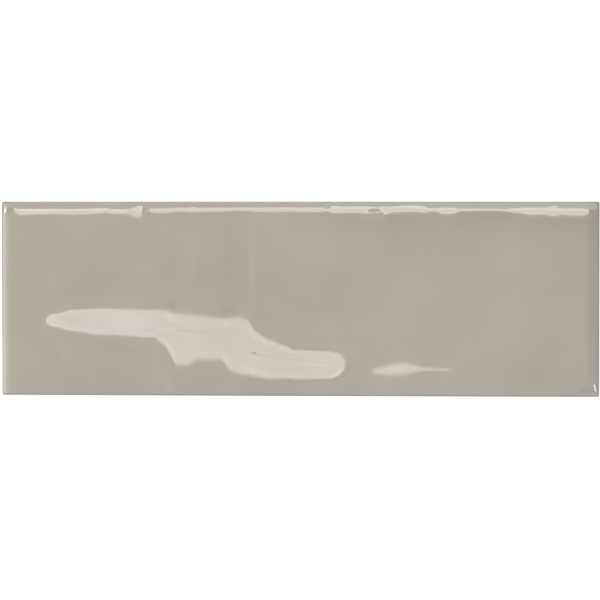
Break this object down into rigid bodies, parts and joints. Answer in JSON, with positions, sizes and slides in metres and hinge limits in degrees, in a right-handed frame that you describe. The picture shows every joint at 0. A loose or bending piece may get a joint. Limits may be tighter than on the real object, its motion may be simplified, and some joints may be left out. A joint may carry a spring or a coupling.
{
  "type": "glazed ceramic subway tile",
  "caption": "Long narrow glazed wall tile with a softly rippled face, rolled edges and a keyed back for adhesive.",
  "frame": {"origin": "centre of the back, on the plane that beds into the adhesive", "axes": "+X along the length, +Y across the width, +Z out of the glazed face"},
  "size_m": [0.2, 0.065, 0.0085],
  "materials": {
    "glazed_earthenware": "polished"
  },
  "bodies": {
    "root": {"tile": "glazed_earthenware"}
  },
  "joints": []
}
